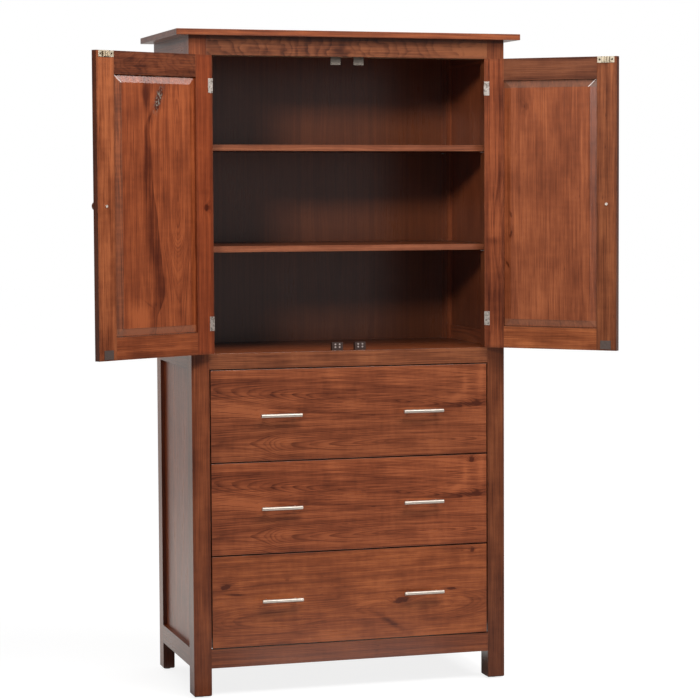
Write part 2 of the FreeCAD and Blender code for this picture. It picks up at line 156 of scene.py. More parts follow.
def split(vector):
    """The vector's three parts."""
    return fill(fresh("SeparateXYZ", vector), vector).outputs


def vectors(operation, *values):
    n = fill(fresh("VectorMath", *values), *values)
    n.operation = operation
    return n.outputs["Value" if operation in ("LENGTH", "DOT_PRODUCT") else "Vector"]


def ease(value, low, high, start=0.0, end=1.0):
    """A smooth step from start to end as the value goes from low to high."""
    n = fill(fresh("MapRange", value), value, low, high, start, end)
    n.interpolation_type = "SMOOTHSTEP"
    return n.outputs[0]


def past(value, edge, amount, soft=0.001):
    """0 up to the edge and the amount past it, away from the middle."""
    soft = math.copysign(soft, edge)
    return ease(value, edge - soft, edge + soft, 0.0, amount)


def straight(value, low, high):
    """The value carried in a straight line from low..high to 0..1, held at both ends."""
    return fill(fresh("MapRange", value), value, low, high, 0.0, 1.0).outputs[0]


def blend(factor, a, b, kind="MIX"):
    n = fresh("Mix", factor, a, b)
    n.data_type = "RGBA"
    n.blend_type = kind
    for place, value in ((0, factor), (6, a), (7, b)):
        join(n.inputs[place], value)
    return n.outputs[2]


def cloud(vector, stretch, detail=2.0, roughness=0.5):
    """Noise of the vector stretched on its three axes, about 0.5 on the average."""
    n = fresh("TexNoise", vector)
    n.noise_dimensions = "3D"
    join(n.inputs["Vector"], vectors("MULTIPLY", vector, stretch))
    join(n.inputs["Scale"], 1.0)
    join(n.inputs["Detail"], detail)
    join(n.inputs["Roughness"], roughness)
    return n.outputs[0]


def swing(value, amount):
    """Turns noise about 0.5 into a value about 0 with the amount as its reach."""
    return times(minus(value, 0.5), amount)


def blend_value(factor, a, b):
    """a where the factor is 0 and b where it is 1."""
    return linear(minus(b, a), factor, a)


def curve_along(value, points, bottom, top):
    """A smooth curve of the value: points are (place, height), heights from bottom to top."""
    low, high = points[0][0], points[-1][0]
    n = fresh("FloatCurve", value)
    join(n.inputs["Value"], straight(value, low, high))
    line = n.mapping.curves[0]
    marks = [((p - low) / (high - low), (h - bottom) / (top - bottom)) for p, h in points]
    while len(line.points) < len(marks):
        line.points.new(0.5, 0.5)
    for mark, point in zip(marks, line.points):
        point.location = mark
    n.mapping.update()
    return linear(n.outputs[0], top - bottom, bottom)


def group_of(name, inputs, outputs):
    """An empty node group with its sockets; returns what goes in and what comes out."""
    tree = bpy.data.node_groups.new(name, "ShaderNodeTree")
    for label, kind, default in inputs:
        s = tree.interface.new_socket(label, in_out="INPUT", socket_type="NodeSocket" + kind)
        if default is not None:
            s.default_value = default
    for label, kind in outputs:
        tree.interface.new_socket(label, in_out="OUTPUT", socket_type="NodeSocket" + kind)
    return tree.nodes.new("NodeGroupInput").outputs, tree.nodes.new("NodeGroupOutput").inputs


def use(name, **values):
    """A use of a node group in a material, with spaces in input names written as underscores."""
    n = fresh("Group", *values.values())
    n.node_tree = bpy.data.node_groups[name]
    for label, value in values.items():
        join(n.inputs[label.replace("_", " ")], value)
    return n.outputs


# ---------------- shared effects
def make_cherry_grain():
    """Growth rings of a tree whose pith runs below the board.

    The ring number is the distance from the pith line, moved a little by slow and quick noise,
    divided by the ring width. Each ring ends in a thin dark line, rings come in darker and paler
    families, and fibres, gum flecks, cross bars and blotches of stain lie over them.
    """
    given, out = group_of("cherry_grain", (
        ("Board", "Vector", None), ("Seed", "Float", 0.0),
        ("Pith Across", "Float", 0.0), ("Pith Depth", "Float", 0.05),
        ("Ring Width", "Float", 0.0042), ("Wander", "Float", 0.004),
        ("Push", "Float", 0.0), ("Stain", "Float", 0.0),
        ("Contrast", "Float", 1.0), ("Lines", "Float", 1.0),
        ("Pale", "Color", None), ("Middle", "Color", None), ("Deep", "Color", None),
    ), (("Color", "Color"), ("Roughness", "Float"), ("Height", "Float")))
    seed = given["Seed"]
    shift = fill(fresh("CombineXYZ", seed), times(seed, 1.37), times(seed, 2.11),
                 times(seed, 3.73))
    place = vectors("ADD", given["Board"], shift.outputs[0])
    sideways, through, _ = split(given["Board"])
    slow = cloud(place, (9, 9, 2.4), 1.0)
    slow_depth = cloud(vectors("ADD", place, (7.1, 3.3, 1.9)), (6, 6, 1.7), 1.0)
    quick = cloud(place, (70, 70, 9), 2.0, 0.55)
    wander = given["Wander"]
    across = total(minus(sideways, given["Pith Across"]), times(swing(slow, 5.0), wander))
    depth = total(minus(through, given["Pith Depth"]), times(swing(slow_depth, 5.0), wander))
    radius = total(distance(across, depth), given["Push"], times(swing(quick, 0.7), wander))
    number = sums("DIVIDE", radius, given["Ring Width"])
    phase = sums("FRACT", number)
    line = times(ease(phase, 0.35, 0.93), ease(phase, 0.94, 1.0, 1, 0))
    ring = sums("FLOOR", number)
    chance = fresh("TexWhiteNoise", ring)
    chance.noise_dimensions = "1D"
    join(chance.inputs["W"], total(ring, seed))
    line = times(line, linear(chance.outputs[0], 0.8, 0.35))
    family = fresh("TexNoise", number)
    family.noise_dimensions = "1D"
    join(family.inputs["W"], linear(number, 0.31, times(seed, 5.3)))
    join(family.inputs["Scale"], 1.0)
    join(family.inputs["Detail"], 2.0)
    fibre = cloud(place, (900, 900, 16), 3.0, 0.65)
    streak = cloud(place, (160, 160, 3.2), 2.0, 0.6)
    pores = cloud(place, (2600, 2600, 190), 1.0)
    fleck = ease(pores, 0.66, 0.74)
    gum = times(ease(cloud(place, (230, 230, 34), 1.0), 0.70, 0.80),
                ease(cloud(place, (9, 9, 5), 1.0), 0.50, 0.62))
    thread = cloud(vectors("ADD", place, (3.1, 5.7, 0.9)), (420, 420, 7.5), 2.0, 0.6)
    bars = cloud(place, (16, 16, 62), 2.0, 0.5)
    blotch = cloud(place, (15, 15, 6.5), 3.0, 0.55)
    strength = given["Lines"]
    tone = total(
        0.46, times(linear(line, 0.36, -0.10), strength),
        swing(family.outputs[0], linear(strength, 0.55, 0.25)),
        swing(fibre, 0.40), swing(streak, 0.55), swing(thread, 0.92),
        swing(bars, 0.22), swing(blotch, linear(strength, -0.45, 1.20)),
        times(gum, 0.40), times(fleck, 0.12))
    tone = linear(minus(tone, 0.5), given["Contrast"], 0.5)
    tone = total(tone, given["Stain"])
    low = blend(straight(tone, 0.0, 0.5), given["Pale"], given["Middle"])
    colour = blend(straight(tone, 0.5, 1.1), low, given["Deep"])
    join(out["Color"], colour)
    join(out["Roughness"], total(0.29, swing(fibre, 0.08), swing(blotch, 0.06)))
    join(out["Height"], total(times(line, 0.25), times(fleck, -0.8), swing(fibre, 0.5)))


def make_cherry_knot():
    """A knot: rings swell round an oval spot by a bell of the distance, and its heart is dark."""
    given, out = group_of("cherry_knot", (
        ("Board", "Vector", None), ("Across", "Float", 0.0), ("Along", "Float", 0.0),
        ("Width", "Float", 0.01), ("Length", "Float", 0.03), ("Lean", "Float", 0.0),
        ("Swell", "Float", 0.01),
    ), (("Push", "Float"), ("Heart", "Float"), ("Halo", "Float")))
    x, _, z = split(given["Board"])
    ragged = swing(cloud(given["Board"], (110, 110, 60), 2.0), 1.1)
    z = minus(z, given["Along"])
    x = minus(minus(x, given["Across"]), times(z, given["Lean"]))
    reach = distance(sums("DIVIDE", x, given["Width"]), sums("DIVIDE", z, given["Length"]))
    near = total(reach, ragged)
    bell = sums("EXPONENT", times(times(reach, reach), -0.35))
    join(out["Push"], times(bell, given["Swell"]))
    join(out["Heart"], ease(near, 0.55, 1.15, 1, 0))
    join(out["Halo"], ease(near, 0.6, 2.6, 1, 0))


def make_board_edge():
    """How near a point is to its board's edges, and whether it lies on the narrow faces all round.

    Of the three distances to the board's pairs of faces, the smallest is about zero on any face and
    the middle one is the distance to the nearest edge.
    """
    given, out = group_of(
        "board_edge", (("Board", "Vector", None), ("Half", "Vector", None)),
        (("Rubbed", "Float"), ("Glaze", "Float"), ("Rim", "Float")))
    x, y, z = split(vectors("SUBTRACT", given["Half"], vectors("ABSOLUTE", given["Board"])))
    least = sums("MINIMUM", sums("MINIMUM", x, y), z)
    most = sums("MAXIMUM", sums("MAXIMUM", x, y), z)
    middle = minus(total(x, y, z), total(least, most))
    uneven = cloud(given["Board"], (60, 60, 60), 3.0, 0.6)
    rubbed = times(ease(middle, 0.0003, 0.0022, 1, 0), ease(uneven, 0.42, 0.62))
    glaze = times(ease(middle, 0.001, 0.012, 1, 0), linear(uneven, 0.9, 0.2))
    join(out["Rubbed"], rubbed)
    join(out["Glaze"], glaze)
    join(out["Rim"], ease(sums("MINIMUM", x, z), 0.0005, 0.0011, 1, 0))


def make_drawn_metal():
    """Fine lines drawn along one direction, cloudy tarnish and a few small dull spots."""
    given, out = group_of("drawn_metal", (
        ("Place", "Vector", None), ("Lines", "Vector", None), ("Bright", "Color", None),
        ("Dull", "Color", None), ("Tarnish", "Float", 0.4), ("Smooth", "Float", 0.25),
    ), (("Color", "Color"), ("Roughness", "Float"), ("Height", "Float")))
    lines = cloud(given["Place"], given["Lines"])
    tarnish = cloud(given["Place"], (90, 90, 90), 3.0, 0.6)
    spots = ease(cloud(given["Place"], (700, 700, 700), 1.0), 0.68, 0.76)
    dull = sums("ADD", times(ease(tarnish, 0.42, 0.66), given["Tarnish"]),
                times(spots, 0.3), clamp=True)
    join(out["Color"], blend(dull, given["Bright"], given["Dull"]))
    join(out["Roughness"], total(given["Smooth"], swing(lines, 0.14), times(dull, 0.16)))
    join(out["Height"], lines)


# ---------------- finishes
def new_finish(name):
    """An empty material, its surface shader and the object's own place."""
    material = bpy.data.materials.new(name)
    material.use_nodes = True
    tree = material.node_tree
    place = tree.nodes.new("ShaderNodeTexCoord").outputs["Object"]
    return material, tree.nodes["Principled BSDF"].inputs, place


def raise_grain(surface, height, depth, strength):
    bump = fresh("Bump", height)
    join(bump.inputs["Strength"], strength)
    join(bump.inputs["Distance"], depth)
    join(bump.inputs["Height"], height)
    join(surface["Normal"], bump.outputs[0])


def corners(node):
    """All vertices of a node's mesh as rows."""
    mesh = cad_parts[node].data
    flat = np.empty(len(mesh.vertices) * 3, np.float32)
    mesh.vertices.foreach_get("co", flat)
    return flat.reshape(-1, 3)


def board_place(place, node, across, along, turn):
    """Board coordinates: x across the grain, y through the board and z along the grain, all from
    the board's middle. Returns them with the board's half sizes."""
    spin = Matrix.Rotation(turn, 3, "Z")
    a = spin @ Vector(across)
    g = spin @ Vector(along)
    rows = Matrix((a, g.cross(a), g))
    turned = corners(node) @ np.array(rows).T
    low, high = turned.min(0), turned.max(0)
    mapping = fresh("Mapping", place)
    join(mapping.inputs["Location"], Vector(-(low + high) / 2))
    join(mapping.inputs["Rotation"], rows.to_euler("XYZ"))
    join(mapping.inputs["Vector"], place)
    return mapping.outputs[0], Vector((high - low) / 2)


def dress(node, material):
    """Gives a node its material."""
    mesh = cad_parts[node].data
    mesh.materials.clear()
    mesh.materials.append(material)


def cherry(node, seed, across, along, turn=0.0, pith=(0.0, 0.06), stain=0.0, tint=1.0, figure=None,
           colours=None, rim=None, painted_shading_and_tone=(), contrast=1.0, lines=1.0, gloss=0.5, specks=None,
           glaze=0.45, bevels=(), mitre_glint=None):
    """A board of stained cherry.

    figure(board) returns the pith line's place across and depth, an extra push on the rings and
    an extra stain. rim tints the narrow faces: a painted shade where they lie in shadow or in a
    gap, and on the shelves a painted highlight and sheen on the front edges. Each shading entry is
    (axis, low, high, start, end): how bright the board is on its way from one place to another
    along an axis of the whole piece, painted light and shade except the back panel's paler outer
    face. contrast is how strong the figure is, lines how strong the growth rings are in it,
    and gloss how much the finish shines. specks is the oval (across, along, width, length,
    lean) of a knot with grey bark dust in it. glaze is how much stain has gathered beside the
    edges. Each of bevels is (0 across or 1 along, edge, amount, softness): the board is greyed
    past that edge by a painted sheen, the reflection a bevel catches. The mitre entry is the
    (across, along, lean, amount) of a painted pale glint along a mitre.
    """
    wood = bpy.context.scene.armoire_wood
    material, surface, place = new_finish("cherry_" + node)
    board, half = board_place(place, node, across, along, turn)
    pith_across, pith_depth, push, extra = pith[0], pith[1], 0.0, stain
    if figure:
        pith_across, pith_depth, push, extra = figure(board)
        extra = total(extra, stain)
    pale, middle, deep = colours or (wood.pale, wood.middle, wood.deep)
    grain = use("cherry_grain", Board=board, Seed=seed, Pith_Across=pith_across,
                Pith_Depth=pith_depth, Push=push, Stain=extra, Contrast=contrast, Lines=lines,
                Pale=(*pale, 1), Middle=(*middle, 1), Deep=(*deep, 1))
    edge = use("board_edge", Board=board, Half=half)
    if isinstance(tint, float):
        tint = (tint, tint, tint)
    colour = blend(1.0, grain["Color"], (*tint, 1), "MULTIPLY")
    # Narrow faces tinted: painted shade where they lie in shadow or in a gap, painted highlight and
    # sheen on the shelves' front edges.
    if rim:
        colour = blend(edge["Rim"], colour, blend(1.0, colour, (*rim, 1), "MULTIPLY"))
    # Painted light and shade, and on the back panel a paler outer face: the colour scaled along an
    # axis of the piece.
    for axis, low, high, start, end in painted_shading_and_tone:
        shade = ease(split(place)[axis], low, high, start, end)
        grey = fill(fresh("CombineColor", shade), shade, shade, shade)
        colour = blend(1.0, colour, grey.outputs[0], "MULTIPLY")
    colour = blend(times(edge["Glaze"], glaze), colour, gathered_stain)
    colour = blend(times(edge["Rubbed"], 0.35), colour, (*pale, 1))
    ways = axes(board)
    # Bevels greyed past an edge: a painted sheen standing in for the reflection they catch.
    for way, line, amount, soft in bevels:
        colour = blend(past(ways[way], line, amount, soft), colour, painted_sheen)
    # A thin pale line along a mitre: a painted glint.
    if mitre_glint:
        across_mitre, along_mitre, lean, amount = mitre_glint
        beyond = minus(ways[1], along_mitre)
        off = minus(minus(ways[0], across_mitre), times(beyond, lean))
        painted_glint_mask = times(ease(absolute(off), 0.0008, 0.0024, amount, 0.0),
                     ease(beyond, -0.001, 0.001))
        colour = blend(painted_glint_mask, colour, painted_glint)
    if specks:
        dust = sums("MULTIPLY", smudge(board, *specks, 1.6),
                    ease(cloud(board, (240, 240, 170), 1.0), 0.50, 0.60), clamp=True)
        colour = blend(dust, colour, bark_dust)
    join(surface["Base Color"], colour)
    join(surface["Roughness"], grain["Roughness"])
    join(surface["Specular IOR Level"], gloss)
    raise_grain(surface, grain["Height"], 0.00025, 0.35)
    dress(node, material)
    return surface, place


def overlay(surface, name, mask, value):
    """Lays a colour or value over what is wired to a surface's input, where the mask is 1."""
    below = surface[name].links[0].from_socket
    join(surface[name], (blend_value if name == "Roughness" else blend)(mask, below, value))


def bare_screw(node, surface, place, turn, thick):
    """Leaves the screw head on the room side of a turned piece as bare metal."""
    way = Matrix.Rotation(turn, 3, "Z") @ Vector(Y)
    end = float((corners(node) @ np.array(way)).max())
    head = ease(vectors("DOT_PRODUCT", place, way), end - thick - 0.0002, end - thick + 0.0002)
    overlay(surface, "Base Color", head, (0.92, 0.85, 0.76, 1))
    overlay(surface, "Roughness", head, 0.42)
    join(surface["Metallic"], head)


def metal(name, bright, dull, lines, tarnish, smooth, nodes):
    """A drawn metal on some nodes; returns its surface shader and place."""
    material, surface, place = new_finish(name)
    drawn = use("drawn_metal", Place=place, Lines=lines, Bright=(*bright, 1),
                Dull=(*dull, 1), Tarnish=tarnish, Smooth=smooth)
    join(surface["Base Color"], drawn["Color"])
    join(surface["Roughness"], drawn["Roughness"])
    join(surface["Metallic"], 1.0)
    raise_grain(surface, drawn["Height"], 0.00006, 0.25)
    for node in nodes:
        dress(node, material)
    return surface, place


def plastic(name, dark, light, node):
    """Finely grained plastic on a node; returns its surface shader and place."""
    material, surface, place = new_finish(name)
    grit = cloud(place, (1500, 1500, 1500), 2.0)
    join(surface["Base Color"], blend(grit, dark, light))
    join(surface["Roughness"], linear(grit, 0.2, 0.4))
    dress(node, material)
    return surface, place


def ease_edges(node, width):
    """Rounds a board's sharp edges a little, on a merged copy made by modifiers."""
    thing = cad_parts[node]
    weld = thing.modifiers.new("merged", "WELD")
    weld.merge_threshold = 0.00001
    bevel = thing.modifiers.new("eased", "BEVEL")
    bevel.width = width
    bevel.segments = 2
    bevel.limit_method = "ANGLE"
    bevel.angle_limit = math.radians(35.0)
    bevel.harden_normals = False


# ---------------- figure of single boards
def axes(board):
    """The board's places across and along."""
    across, _, along = split(board)
    return across, along


def smudge(board, across, along, width, length, lean=0.0, amount=1.0):
    """A soft oval stain: a bell of the leaning oval distance, with a ragged rim."""
    x, z = axes(board)
    z = minus(z, along)
    x = minus(minus(x, across), times(z, lean))
    x = sums("DIVIDE", x, width)
    z = sums("DIVIDE", z, length)
    far = total(times(x, x), times(z, z), swing(cloud(board, (75, 75, 24), 2.0), 1.2))
    return times(sums("EXPONENT", times(far, -1.0)), amount)


def smudges(board, *places):
    """The sum of several soft stains: (across, along, width, length, lean, amount) each."""
    return total(*(smudge(board, *place) for place in places))


def knots(board, *places):
    """Several knots: (across, along, width, length, lean, swell, darkness) each. Returns the push
    on the rings and the extra stain."""
    push, stain = 0.0, 0.0
    for across, along, width, length, lean, swell, dark in places:
        k = use("cherry_knot", Board=board, Across=across, Along=along, Width=width,
                Length=length, Lean=lean, Swell=swell)
        push = total(push, k["Push"])
        stain = total(stain, times(k["Heart"], dark), times(k["Halo"], dark * 0.22))
    return push, stain


def drawer_figure(board):
    """Two glued strips, each with its own nest of arches opening to the right."""
    x, z = axes(board)
    upper = ease(x, -0.0085, -0.0075)
    high_across = linear(z, -0.085, 0.0426)
    high_depth = curve_along(z, (
        (-0.461, 0.053), (-0.30, 0.037), (-0.16, 0.022), (0.0, 0.010), (0.10, 0.004),
        (0.20, 0.016), (0.32, 0.026), (0.461, 0.030)), 0.0, 0.06)
    low_across = linear(z, -0.010, -0.098)
    low_depth = curve_along(z, (
        (-0.461, 0.060), (-0.31, 0.052), (-0.225, 0.034), (-0.10, 0.026), (0.077, 0.017),
        (0.19, 0.007), (0.34, 0.018), (0.461, 0.024)), 0.0, 0.09)
    push, dark = knots(board, (0.018, 0.425, 0.008, 0.020, 0.0, 0.012, 0.55))
    stains = smudges(
        board,
        (0.016, 0.36, 0.0090, 0.135, 0.0, 0.62),  # streak into the knot
        (0.015, -0.37, 0.022, 0.13, -0.16, -0.34),  # pale wedge at the left
        (0.038, 0.355, 0.013, 0.026, 0.5, -0.55),  # pale patch beside the knot
        (0.085, 0.385, 0.050, 0.012, 0.1, -0.40),  # two pale flames
        (0.085, 0.440, 0.050, 0.011, 0.1, -0.30),
        (0.082, -0.432, 0.012, 0.022, 0.0, 0.30),  # dark tip near the left end
        (0.070, -0.27, 0.028, 0.21, -0.09, 0.20),  # the two nests of arches
        (0.045, 0.06, 0.030, 0.17, -0.05, 0.14))
    ends = ease(absolute(z), 0.36, 0.45, 0.0, 0.10)
    return (blend_value(upper, low_across, high_across),
            blend_value(upper, low_depth, high_depth), push, total(dark, stains, ends))


def middle_drawer_figure(board):
    """The same two strips, with a small knot near the upper right corner."""
    across, depth, push, stain = drawer_figure(board)
    more, dark = knots(board, (0.131, 0.408, 0.009, 0.010, 0.0, 0.012, 0.75))
    return across, depth, total(push, more), total(stain, dark)


def bottom_drawer_figure(board):
    """Nearly straight grain with gum marks and small knots."""
    _, z = axes(board)
    across = linear(z, 0.03, -0.055)
    depth = curve_along(z, ((-0.461, 0.060), (-0.25, 0.045), (-0.05, 0.050),
                            (0.15, 0.034), (0.461, 0.060)), 0.0, 0.08)
    push, dark = knots(
        board,
        (0.048, -0.415, 0.008, 0.017, 0.2, 0.010, 0.80),
        (-0.024, 0.168, 0.010, 0.028, 0.12, 0.018, 0.72),
        (0.004, 0.338, 0.0045, 0.018, -0.05, 0.003, 0.85),
        (0.130, 0.410, 0.009, 0.008, 0.0, 0.010, 0.45),
        (0.060, -0.214, 0.006, 0.009, 0.0, 0.006, 0.22))
    stains = smudges(
        board,
        (0.022, -0.385, 0.0040, 0.036, -0.06, 0.80),  # gum lines, left and right
        (-0.021, 0.343, 0.0018, 0.018, 0.0, 0.50),
        (-0.093, 0.128, 0.011, 0.048, -0.62, 0.50),  # slanting dark slash
        (-0.045, 0.210, 0.018, 0.030, 0.3, -0.25),  # pale beside the middle knot
        (-0.070, -0.17, 0.022, 0.10, 0.0, 0.16))  # cloudy patch
    mottle = swing(cloud(board, (30, 30, 15), 3.0, 0.55), 0.55)
    ends = ease(absolute(z), 0.36, 0.45, 0.0, 0.08)
    return across, depth, push, total(dark, stains, mottle, ends)


def left_panel_figure(board):
    """A knot at the top, a dark heart streak that wanders down from it with one crisp and one
    fading side, and a nest of pointed loops on its hinge side."""
    x, z = axes(board)
    rim = curve_along(z, (
        (-0.42, 0.0), (-0.358, 0.003), (-0.309, -0.016), (-0.26, -0.029), (-0.195, -0.022),
        (-0.114, -0.012), (-0.032, -0.002), (0.058, 0.014), (0.179, 0.020), (0.244, 0.026),
        (0.283, 0.015), (0.42, -0.010)), -0.06, 0.06)
    ragged = swing(cloud(board, (60, 60, 12), 3.0, 0.6), 0.010)
    off = minus(x, total(rim, times(ragged, 0.4)))
    wide = curve_along(z, (
        (-0.42, 0.030), (-0.30, 0.048), (-0.20, 0.056), (-0.10, 0.060), (0.03, 0.050),
        (0.13, 0.040), (0.20, 0.034), (0.28, 0.012), (0.42, 0.008)), 0.0, 0.07)
    crisp = ease(off, -0.0035, 0.0015)
    fading = ease(total(off, ragged), times(wide, 0.45), wide, 1, 0)
    low = ease(z, 0.26, 0.30, 1, 0)
    band = times(times(crisp, fading), low)
    dark_line = minus(off, 0.001)
    dark_line = times(low, sums("EXPONENT", times(times(dark_line, dark_line), -160000.0)))
    beside = times(ease(off, 0.02, 0.125, 1, 0), ease(off, 0.0, 0.02))
    beside = times(beside, times(ease(z, -0.30, -0.10), ease(z, 0.10, 0.24, 1, 0)))
    push, dark = knots(board, (-0.012, 0.325, 0.0125, 0.038, -0.32, 0.022, 0.80))
    stains = smudges(
        board,
        (0.037, 0.345, 0.016, 0.038, 0.05, 0.78),  # dark patch beside the knot
        (0.013, 0.33, 0.009, 0.034, -0.15, -0.30),  # pale hollow between the two
        (0.024, 0.270, 0.008, 0.030, 0.15, 0.30),  # where they join
        (0.036, -0.300, 0.004, 0.012, 1.5, 0.36),  # small hook over the pale patch
        (0.066, -0.345, 0.046, 0.050, 0.2, -0.78),  # pale patch low on the free side
        (-0.090, -0.335, 0.013, 0.036, 0.0, 0.30))  # dark mark low on the hinge side
    curl = cloud(board, (10, 10, 105), 2.0, 0.5)
    # The free-side bevel: curly figure over a painted shade.
    bevel = times(past(x, field_across, 1.0, 0.0015), total(swing(curl, 0.6), 0.18))
    # The foot bevel is paler, a painted sheen, and the dark line at the bevel's foot is the painted
    # shadow of the groove.
    stain = total(dark, stains, bevel, past(z, -field_along, -0.42),
                  past(z, bevel_foot, 0.9, 0.00075), times(band, 0.44),
                  times(dark_line, 0.12), times(beside, 0.14))
    hinge_side = ease(off, -0.006, -0.012)
    across = linear(hinge_side, -0.244, 0.16)
    deep = curve_along(z, ((-0.42, 0.066), (-0.21, 0.058), (-0.05, 0.022),
                           (0.10, 0.014), (0.42, 0.030)), 0.0, 0.12)
    return across, blend_value(hinge_side, 0.030, deep), push, stain


def right_panel_figure(board):
    """Straight grain with one clouded knot high on the hinge side and dark marks lower down."""
    x, z = axes(board)
    push, dark = knots(board, (0.082, 0.312, 0.009, 0.013, 0.1, 0.020, 0.22),
                       (0.150, -0.195, 0.005, 0.011, 0.5, 0.006, 0.50),
                       (0.137, -0.035, 0.005, 0.012, 0.3, 0.008, 0.35),
                       (0.138, -0.099, 0.006, 0.015, -0.3, 0.010, 0.40))
    stains = smudges(
        board,
        (0.085, 0.33, 0.040, 0.040, 0.3, 0.14),  # shade round the clouded knot
        (0.141, -0.075, 0.011, 0.055, 0.0, 0.26),  # between the dark marks
        (-0.055, 0.06, 0.022, 0.16, 0.05, 0.10),  # long faint streak
        (0.147, 0.03, 0.006, 0.10, 0.0, 0.20),  # curls beside the hinge stile
        (0.08, -0.31, 0.10, 0.11, 0.0, -0.14))  # paler foot
    # On the bevels: painted shade on the free side and the top, a painted sheen paler at the foot,
    # and the painted shadow of the groove at the bevel's foot.
    bevel = total(past(x, -field_across, 0.14, 0.0015),
                  past(z, field_along, 0.20), past(z, -field_along, -0.16),
                  past(z, bevel_foot, 0.9, 0.00075))
    depth = curve_along(z, ((-0.40, 0.13), (0.0, 0.10), (0.40, 0.12)), 0.0, 0.15)
    return linear(z, 0.02, -0.42), depth, push, total(dark, stains, bevel)


def right_hinge_stile_figure(board):
    """Grain swept round a branch that lay just past the panel's side of the stile."""
    push, dark = knots(board, (-0.045, -0.055, 0.030, 0.055, 0.0, 0.050, 0.0),
                       (-0.048, -0.150, 0.026, 0.040, 0.0, 0.030, 0.0))
    stains = smudges(
        board,
        (-0.005, -0.085, 0.016, 0.022, -0.4, -0.28),  # pale where the grain sweeps in
        (0.0, -0.120, 0.030, 0.012, 0.3, 0.36),  # dark band below it
        (0.0, -0.27, 0.060, 0.110, 0.0, 0.26))  # darker foot
    return 0.09, 0.045, push, total(dark, stains)


def left_hinge_stile_figure(board):
    """A small tight knot half way up."""
    push, dark = knots(board, (-0.006, -0.008, 0.010, 0.013, 0.0, 0.022, 0.55))
    shade = smudge(board, 0.0, 0.045, 0.03, 0.02, 0.5, 0.12)
    return 0.06, 0.045, push, total(dark, shade)


def post_figure(board):
    """A plain post whose foot is darkened by painted shade."""
    _, z = axes(board)
    # Painted shade near the floor.
    foot = ease(z, -1.05, -0.90, 0.15, 0.0)
    return 0.05, 0.055, 0.0, foot


def scallops(board, spacing, lean, wander):
    """Dark arcs one after another along a curly board, from 0 to about 1."""
    x, z = axes(board)
    number = total(sums("DIVIDE", z, spacing), times(x, lean),
                   swing(cloud(board, (17, 17, 12), 2.0, 0.5), wander))
    phase = sums("FRACT", number)
    arcs = times(ease(phase, 0.30, 0.88), ease(phase, 0.88, 1.0, 1, 0))
    uneven = cloud(board, (40, 40, 30), 2.0)
    return times(arcs, linear(uneven, 1.3, -0.15))


def top_rail_figure(board):
    """Curly wood in the left half, scalloped dark arcs, and a paler right end, a painted highlight.
    """
    _, z = axes(board)
    curl = ease(z, -0.42, -0.30)
    curl = times(curl, ease(z, 0.02, 0.16, 1, 0))
    waves = swing(cloud(board, (26, 26, 38), 2.0, 0.5), 1.3)
    arcs = times(scallops(board, 0.038, 9.0, 4.0), ease(z, 0.10, 0.34, 0.80, 0.55))
    # Painted highlight: the right end is paler.
    paler = ease(z, 0.20, 0.42, 0.04, -0.48)
    return 0.06, 0.05, 0.0, total(times(curl, waves), arcs, -0.14, paler)


def curly_rail_figure(board):
    """A rail with a mottled middle and scalloped dark arcs."""
    push, dark = knots(board, (0.02, 0.02, 0.030, 0.05, 0.3, 0.030, 0.0),
                       (-0.03, -0.09, 0.020, 0.03, 0.0, 0.020, 0.0))
    arcs = times(scallops(board, 0.045, -12.0, 6.0), 0.45)
    shade = smudge(board, 0.0, 0.0, 0.05, 0.10, 0.0, 0.10)
    return 0.07, 0.04, push, total(dark, arcs, -0.07, shade)


# ---------------- pieces
class ARMOIRE_OT_case_front(bpy.types.Operator):
    """Front posts, rails and the top board"""

    bl_idname = "armoire.case_front"
    bl_label = "Front posts, rails and top"

    def execute(self, context):
        for side, seed, tint in (("left", 1.3, (0.92, 0.92, 0.97)),
                                 ("right", 2.7, (0.73, 0.78, 0.85))):
            cherry("front_post_" + side, seed, X, Z, figure=post_figure, tint=tint, contrast=1.2,
                   lines=0.3, gloss=0.4, glaze=0.25)
        # Its narrow faces get a painted shade: the strip beside the recessed side panel lies in
        # shadow.
        cherry("back_post_left", 3.1, Y, Z, pith=(0.05, 0.055), tint=1.3, rim=painted_shade_rim)
        cherry("back_post_right", 3.9, Y, Z, pith=(0.06, -0.05))
        cherry("top_rail", 4.4, Z, X, figure=top_rail_figure, tint=(0.68, 0.80, 0.90),
               contrast=1.4, lines=0.5)
        cherry("middle_rail", 5.2, Z, X, pith=(-0.05, 0.05), tint=(0.94, 1.1, 1.25),
               contrast=1.3, lines=0.6, glaze=0.25)
        cherry("bottom_rail", 6.1, Z, X, pith=(0.07, 0.05), glaze=0.25)
        cherry("top_board", 7.5, Y, X, pith=(0.10, 0.16))
        eased = context.scene.armoire_wood.edge_ease
        for node in ("front_post_left", "front_post_right", "back_post_left", "back_post_right"):
            ease_edges(node, eased)
        for node in ("top_rail", "middle_rail", "bottom_rail"):
            ease_edges(node, 0.4 * eased)
        return {"FINISHED"}


class ARMOIRE_OT_case_sides(bpy.types.Operator):
    """Side rails and side panels"""

    bl_idname = "armoire.case_sides"
    bl_label = "Sides"

    def execute(self, context):
        # The rails' top and bottom faces get a painted shade, the shadow in the side panel's
        # recess.
        cherry("left_side_rails", 8.2, Z, Y, pith=(0.0, 0.12), rim=painted_shade_rim)
        cherry("right_side_rails", 8.9, Z, Y, pith=(0.0, 0.12))
        cherry("left_side_panels", 9.4, Y, Z, pith=(0.05, 0.08), tint=(1.35, 1.15, 0.95),
               lines=0.6, gloss=0.46)
        # Painted shade darkens the right side panels towards their foot, inside the case.
        cherry("right_side_panels", 10.1, Y, Z, pith=(-0.05, 0.08),
               painted_shading_and_tone=((2, 1.1, 1.60, 0.62, 1.0),), contrast=0.7)
        return {"FINISHED"}


